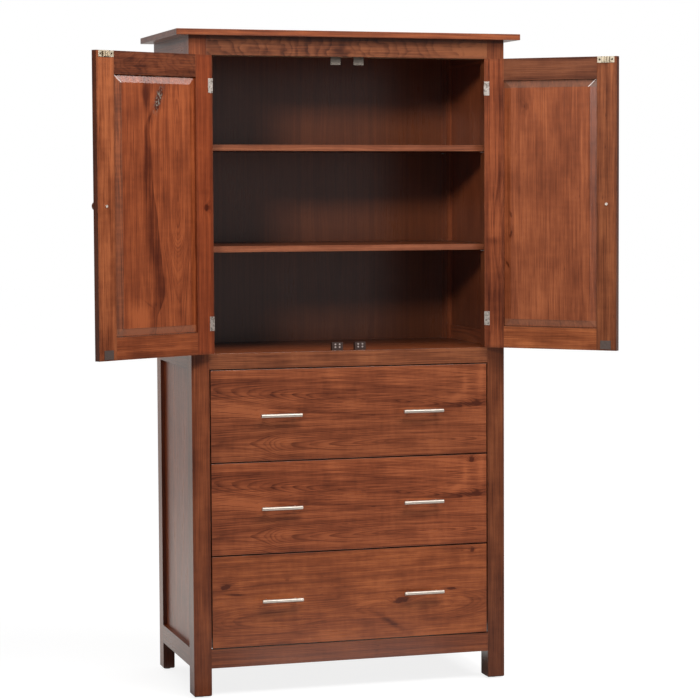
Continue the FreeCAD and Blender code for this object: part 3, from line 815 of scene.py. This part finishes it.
class ARMOIRE_OT_inside(bpy.types.Operator):
    """Back panel, compartment floor, shelves and cleats"""

    bl_idname = "armoire.inside"
    bl_label = "Inside boards"

    def execute(self, context):
        # Painted shade makes the back darker towards its foot, and its outer face has taken less
        # stain.
        cherry("back_panel", 11.2, X, Z, pith=(0.1, 0.12), tint=(0.82, 0.88, 0.85), contrast=0.45,
               gloss=0.75, painted_shading_and_tone=((2, 1.05, 1.70, 0.62, 1.0), (1, 0.4385, 0.4395, 1.0, 1.7)))
        # Painted light: the compartment floor is brighter towards its front, where the light falls
        # in.
        cherry("compartment_floor", 12.6, Y, X, pith=(0.05, 0.09), tint=0.5,
               painted_shading_and_tone=((1, -0.08, 0.30, 2.1, 1.05),))
        # Their narrow faces are made paler and greyer: a painted highlight and sheen on the front
        # edges.
        for shelf, seed, pith, rim in (("lower", 13.3, (0.05, 0.09), (2.32, 2.90, 4.0)),
                                       ("upper", 14.7, (-0.05, 0.09), (2.05, 2.55, 3.4))):
            cherry(shelf + "_shelf", seed, Y, X, pith=pith, tint=0.55, rim=rim, contrast=0.75)
        cherry("frame_cleats", 15.1, Z, X, pith=(0.0, 0.2), colours=maple)
        cherry("slide_cleats", 15.8, Z, Y, pith=(0.0, 0.2), colours=maple)
        return {"FINISHED"}


def dress_door(side, boards):
    """Stains a door's boards: boards gives each piece's seed and the rest of its look."""
    for piece, (seed, look) in boards.items():
        node = side + "_door_" + piece
        across, along = (Z, X) if piece.endswith("rail") else (X, Z)
        cherry(node, seed, across, along, door_turns[side], **look)
        if piece != "panel":
            ease_edges(node, bpy.context.scene.armoire_wood.edge_ease)


class ARMOIRE_OT_left_door(bpy.types.Operator):
    """Boards of the left door"""

    bl_idname = "armoire.left_door"
    bl_label = "Left door"

    def execute(self, context):
        dress_door("left", {
            "hinge_stile": (20.1, dict(figure=left_hinge_stile_figure, tint=(0.90, 0.72, 0.66),
                                       lines=0.6, gloss=0.35)),
            # The free stile's narrow faces get a painted shade; its free edge lies in shade.
            "free_stile": (21.4, dict(pith=(0.07, 0.06), tint=(1.14, 1.20, 1.26), rim=painted_shade_rim,
                                      contrast=1.6, lines=0.3, gloss=0.35)),
            "top_rail": (22.2, dict(figure=curly_rail_figure, stain=0.12, tint=(0.60, 0.62, 0.72),
                                    contrast=1.5, lines=0.3, gloss=0.35)),
            "bottom_rail": (23.8, dict(pith=(0.05, 0.05), tint=(0.98, 0.92, 0.90), contrast=1.3,
                                       lines=0.4, gloss=0.35)),
            "panel": (24.6, dict(figure=left_panel_figure, tint=(1.06, 0.96, 0.89),
                                 contrast=1.25, lines=0.7, gloss=0.42,
                                 specks=(-0.012, 0.325, 0.010, 0.032, -0.32),
                                 # Painted sheen greys the foot bevel and the free-side bevel.
                                 bevels=((1, -field_along, 0.22, 0.001),
                                         (0, field_across, 0.16, 0.0015)),
                                 # A painted pale glint along the upper free-side mitre.
                                 mitre_glint=(field_across, field_along, 1.0, 0.35))),
        })
        return {"FINISHED"}


class ARMOIRE_OT_right_door(bpy.types.Operator):
    """Boards of the right door"""

    bl_idname = "armoire.right_door"
    bl_label = "Right door"

    def execute(self, context):
        dress_door("right", {
            "hinge_stile": (30.7, dict(figure=right_hinge_stile_figure, tint=(0.98, 0.95, 1.02),
                                       contrast=1.5, lines=0.7, gloss=0.4)),
            # The free stile's narrow faces get a painted shade; its free edge lies in shade.
            "free_stile": (31.2, dict(pith=(0.07, 0.06), tint=(0.94, 1.08, 1.20), rim=painted_shade_rim,
                                      contrast=1.3, lines=0.35, gloss=0.4)),
            "top_rail": (32.5, dict(pith=(0.05, 0.05), tint=(0.60, 0.73, 0.97), contrast=1.3,
                                    lines=0.4, gloss=0.4)),
            "bottom_rail": (33.4, dict(pith=(0.05, 0.05), tint=(1.38, 1.53, 1.54), contrast=1.3,
                                       lines=0.4, gloss=0.4)),
            "panel": (34.9, dict(figure=right_panel_figure, tint=(1.15, 1.23, 1.36),
                                 contrast=1.1, lines=0.3, gloss=0.47,
                                 # Painted sheen greys the foot bevel and the top bevel.
                                 bevels=((1, -field_along, 0.20, 0.001),
                                         (1, field_along, 0.24, 0.001)),
                                 # A painted pale glint along the upper free-side mitre.
                                 mitre_glint=(-field_across, field_along, -1.0, 0.85))),
        })
        return {"FINISHED"}


class ARMOIRE_OT_drawers(bpy.types.Operator):
    """Drawer fronts and boxes"""

    bl_idname = "armoire.drawers"
    bl_label = "Drawers"

    def execute(self, context):
        looks = {"top": (40.0, drawer_figure, (1.10, 1.13, 1.22), 1.55, 0.85),
                 "middle": (40.0, middle_drawer_figure, (1.26, 1.25, 1.31), 1.55, 0.85),
                 "bottom": (46.6, bottom_drawer_figure, (1.46, 1.50, 1.42), 1.2, 0.5)}
        for drawer, (seed, figure, tint, contrast, lines) in looks.items():
            node = drawer + "_drawer_"
            # Narrow faces get a painted shade, the dark of the gaps between the drawers.
            cherry(node + "front", seed, Z, X, figure=figure, rim=(0.32, 0.27, 0.25), tint=tint,
                   contrast=contrast, lines=lines, gloss=0.45, glaze=0.1)
            cherry(node + "sides", seed + 1, Z, Y, pith=(0, 0.2), colours=maple)
            cherry(node + "back", seed + 2, Z, X, pith=(0, 0.2), colours=maple)
            cherry(node + "bottom", seed + 2.5, Y, X, pith=(0, 0.1), colours=maple, lines=0.4)
            ease_edges(node + "front", 0.9 * context.scene.armoire_wood.edge_ease)
        return {"FINISHED"}


class ARMOIRE_OT_fittings(bpy.types.Operator):
    """Pulls, knobs, hinges, catches, slides and glides"""

    bl_idname = "armoire.fittings"
    bl_label = "Fittings"

    def execute(self, context):
        drawers = ("top", "middle", "bottom")
        metal("satin_nickel", (0.56, 0.495, 0.43), (0.46, 0.40, 0.34), (60, 900, 900), 0.3, 0.42,
              [drawer + "_drawer_pulls" for drawer in drawers])
        metal("plated_hinge", (0.86, 0.77, 0.69), (0.17, 0.135, 0.11), (500, 500, 500), 0.9, 0.40,
              ["case_hinge_leaves"] + [door + "_door_hinge_leaves" for door in door_turns])
        metal("dull_steel", (0.24, 0.205, 0.175), (0.15, 0.125, 0.105), (900, 900, 300), 0.5, 0.5,
              ["top_strike_plates"])
        metal("dark_strike", (0.20, 0.150, 0.132), (0.13, 0.095, 0.080), (900, 900, 300), 0.5,
              0.45, [door + "_door_bottom_strike" for door in door_turns])
        metal("zinc_plated_steel", (0.60, 0.60, 0.60), (0.36, 0.36, 0.37), (900, 900, 300), 0.5,
              0.36, ["case_slides", "shelf_pins"] + [drawer + "_drawer_slides"
                                                     for drawer in drawers])
        screw_head = 0.0026
        for door, turn in door_turns.items():
            self.dress_catch(door + "_door_top_catch", turn)
            knob = door + "_door_knob"
            bare_screw(knob, *cherry(knob, 52.3, X, Y, turn, tint=0.45), turn, screw_head)
        plastic("black_plastic", (0.012, 0.012, 0.012, 1), (0.03, 0.03, 0.03, 1), "leg_glides")
        self.dress_magnets()
        return {"FINISHED"}

    def dress_catch(self, node, turn):
        """Aged brass, with painted shade in the two screw recesses, beside the ribbed block and
        between its two bright bars."""
        screw_across, block_half, bar_across = 0.02125, 0.0140, 0.0045
        surface, place = metal("aged_brass_" + node.split("_")[0], (0.90, 0.78, 0.60),
                               (0.36, 0.27, 0.16), (500, 500, 500), 0.55, 0.36, [node])
        x, z = axes(board_place(place, node, X, Z, turn)[0])
        x = absolute(x)
        recess = ease(distance(minus(x, screw_across), z), 0.0024, 0.0042, 1, 0)
        step = ease(absolute(minus(x, block_half)), 0.0006, 0.0018, 0.75, 0)
        groove = ease(absolute(minus(x, bar_across)), 0.0008, 0.0022, 0.55, 0)
        dark = sums("MINIMUM", total(recess, step, groove), 0.92)
        overlay(surface, "Base Color", dark, (0.055, 0.032, 0.016, 1))

    def dress_magnets(self):
        """Brown plastic with four steel studs on each face, in two columns fourteen millimetres
        apart and two rows nine apart, two above the middle."""
        stud_across, stud_along, stud_lift = 0.007, 0.0045, 0.002
        half_width = 0.018
        points = corners("magnet_catches")
        low, high = points.min(0).tolist(), points.max(0).tolist()
        between = (high[0] + low[0]) / 2
        surface, place = plastic(
            "magnet_catch", (0.034, 0.016, 0.012, 1), (0.055, 0.030, 0.023, 1), "magnet_catches")
        x, y, z = split(place)
        x = absolute(minus(x, between))
        x = minus(absolute(minus(x, high[0] - between - half_width)), stud_across)
        z = minus(absolute(minus(z, (low[2] + high[2]) / 2 + stud_lift)), stud_along)
        front = ease(y, low[1] + 0.001, low[1] + 0.002, 1, 0)
        stud = times(ease(distance(x, z), 0.0024, 0.0032, 1, 0), front)
        overlay(surface, "Base Color", stud, (0.62, 0.52, 0.48, 1))
        join(surface["Metallic"], stud)


# ---------------- studio
def soft_lamp(name, place, target, width, height, power):
    lamp = bpy.data.lights.new(name, "AREA")
    lamp.shape = "RECTANGLE"
    lamp.size = width
    lamp.size_y = height
    lamp.energy = power
    thing = bpy.data.objects.new(name, lamp)
    thing.location = place
    thing.rotation_euler = (Vector(target) - Vector(place)).to_track_quat("-Z", "Y").to_euler()
    bpy.context.scene.collection.objects.link(thing)
    return thing


def white_room(fill, overhead):
    """White wherever the camera looks. Shiny things see a dim front, a brighter back and a white
    ceiling, and matt ones get the fill and the ceiling."""
    world = bpy.data.worlds.new("studio")
    bpy.context.scene.world = world
    world.use_nodes = True
    tree = world.node_tree
    tree.nodes.clear()
    path = tree.nodes.new("ShaderNodeLightPath")
    _, y, z = split(tree.nodes.new("ShaderNodeTexCoord").outputs["Generated"])
    front = total(ease(y, -1.0, -0.7, 0.38, 0.12), ease(y, 0.42, 0.82, 0.0, 0.325))
    above = ease(z, 0.30, 0.70)
    front = sums("MAXIMUM", front, above)
    shiny = times(path.outputs["Is Glossy Ray"], front)
    plain = total(path.outputs["Is Camera Ray"], path.outputs["Is Transmission Ray"])
    seen = sums("ADD", plain, path.outputs["Is Glossy Ray"], clamp=True)
    matt = linear(ease(z, 0.45, 0.90), overhead, fill)
    light = total(plain, shiny, times(minus(1.0, seen), matt))
    background = tree.nodes.new("ShaderNodeBackground")
    join(background.inputs["Strength"], light)
    join(background.inputs["Color"], (1, 1, 1, 1))
    out = tree.nodes.new("ShaderNodeOutputWorld")
    join(out.inputs["Surface"], background.outputs[0])


def white_floor(side):
    """A pale floor that the camera sees white. Shiny things see a soft sheen on it, with a card
    in front, a warmer tone behind and nothing under the armoire."""
    mesh = bpy.data.meshes.new("floor")
    reach = side / 2
    mesh.from_pydata([(-reach, -reach, 0), (reach, -reach, 0), (reach, reach, 0),
                      (-reach, reach, 0)], [], [(0, 1, 2, 3)])
    floor = bpy.data.objects.new("floor", mesh)
    bpy.context.scene.collection.objects.link(floor)
    material, surface, place = new_finish("pale_floor")
    join(surface["Base Color"], (0.25, 0.25, 0.25, 1))
    join(surface["Roughness"], 0.9)
    join(surface["Specular IOR Level"], 0.0)
    path = fresh("LightPath", place)
    x, y, _ = split(place)
    away = vectors("LENGTH", place)
    behind = ease(y, -0.5, 1.5)
    far = total(ease(away, 2.0, 6.5, 0.80, 0.45), ease(away, 8.0, 12.0, 0.0, 0.09))
    card = times(ease(x, -0.28, -0.18), ease(x, 0.42, 0.52, 1, 0))
    card = times(card, ease(y, -0.95, -0.75, 0, 1.4))
    near = total(ease(away, 1.3, 2.8, 0.30, 0.04), ease(away, 11.0, 15.0, 0.0, 0.22), card)
    sheen = blend_value(behind, near, far)
    under = times(ease(absolute(x), 0.46, 0.54, 1, 0), ease(absolute(y), 0.27, 0.36, 1, 0))
    sheen = times(sheen, linear(under, -0.95, 1.0))
    glow = total(times(path.outputs["Is Camera Ray"], 0.845),
                 times(path.outputs["Is Glossy Ray"], sheen))
    warm = times(path.outputs["Is Glossy Ray"], behind)
    join(surface["Emission Color"], blend(warm, (1, 1, 1, 1), (1.0, 0.95, 0.885, 1)))
    join(surface["Emission Strength"], glow)
    mesh.materials.append(material)


class ARMOIRE_OT_studio(bpy.types.Operator):
    """Floor, white room, lamps and camera"""

    bl_idname = "armoire.studio"
    bl_label = "Studio"

    def execute(self, context):
        studio = context.scene.armoire_studio
        white_room(studio.fill, studio.overhead)
        white_floor(studio.floor_side)
        key = soft_lamp("key_lamp", (-3.35, -4.9, 3.5), (0.35, -0.1, 2.1), 1.4, 0.7,
                        studio.key_power)
        key.data.spread = math.radians(36.0)
        soft_lamp("top_lamp", (0.6, -3.0, 4.2), (0.0, -0.1, 0.9), 2.4, 1.2, studio.top_power)
        soft_lamp("side_lamp", (3.6, -1.9, 4.1), (0.0, -0.1, 1.1), 1.5, 1.5, studio.side_power)
        eye = (-2.11921, -7.81377, 1.64376)
        yaw, pitch, roll = 0.3238, 0.0653, -0.0017
        ahead = Vector((math.sin(yaw) * math.cos(pitch), math.cos(yaw) * math.cos(pitch),
                        -math.sin(pitch)))
        right = Vector((math.cos(yaw), -math.sin(yaw), 0.0))
        up = right.cross(ahead)
        side = math.cos(roll) * right + math.sin(roll) * up
        head = math.cos(roll) * up - math.sin(roll) * right
        camera = bpy.data.cameras.new("camera")
        camera.sensor_width = 36.0
        camera.lens = studio.lens
        camera.shift_x = -0.1857
        camera.shift_y = -0.0108
        thing = bpy.data.objects.new("camera", camera)
        turn = Matrix((side, head, -ahead)).transposed().to_4x4()
        thing.matrix_world = Matrix.Translation(eye) @ turn
        context.scene.collection.objects.link(thing)
        context.scene.camera = thing
        context.scene.view_settings.view_transform = "Standard"
        return {"FINISHED"}


# ---------------- sidebar
class ARMOIRE_PT_sidebar(bpy.types.Panel):
    """The armoire's pieces and finishes"""

    bl_idname = "ARMOIRE_PT_sidebar"
    bl_label = "Cherry armoire"
    bl_space_type = "VIEW_3D"
    bl_region_type = "UI"
    bl_category = "Armoire"

    def draw(self, context):
        for settings in (context.scene.armoire_wood, context.scene.armoire_studio):
            for name in settings.__annotations__:
                self.layout.prop(settings, name)
        for operator in pieces:
            self.layout.operator(operator.bl_idname)


pieces = (
    ARMOIRE_OT_case_front,
    ARMOIRE_OT_case_sides,
    ARMOIRE_OT_inside,
    ARMOIRE_OT_left_door,
    ARMOIRE_OT_right_door,
    ARMOIRE_OT_drawers,
    ARMOIRE_OT_fittings,
    ARMOIRE_OT_studio,
)
classes = (ArmoireWood, ArmoireStudio) + pieces + (ARMOIRE_PT_sidebar,)


def register():
    for cls in classes:
        bpy.utils.register_class(cls)
    bpy.types.Scene.armoire_wood = PointerProperty(type=ArmoireWood)
    bpy.types.Scene.armoire_studio = PointerProperty(type=ArmoireStudio)


def unregister():
    del bpy.types.Scene.armoire_studio
    del bpy.types.Scene.armoire_wood
    for cls in reversed(classes):
        bpy.utils.unregister_class(cls)


def main():
    register()
    make_cherry_grain()
    make_cherry_knot()
    make_board_edge()
    make_drawn_metal()
    bpy.ops.armoire.case_front()
    bpy.ops.armoire.case_sides()
    bpy.ops.armoire.inside()
    bpy.ops.armoire.left_door()
    bpy.ops.armoire.right_door()
    bpy.ops.armoire.drawers()
    bpy.ops.armoire.fittings()
    bpy.ops.armoire.studio()


if __name__ == "__main__":
    main()
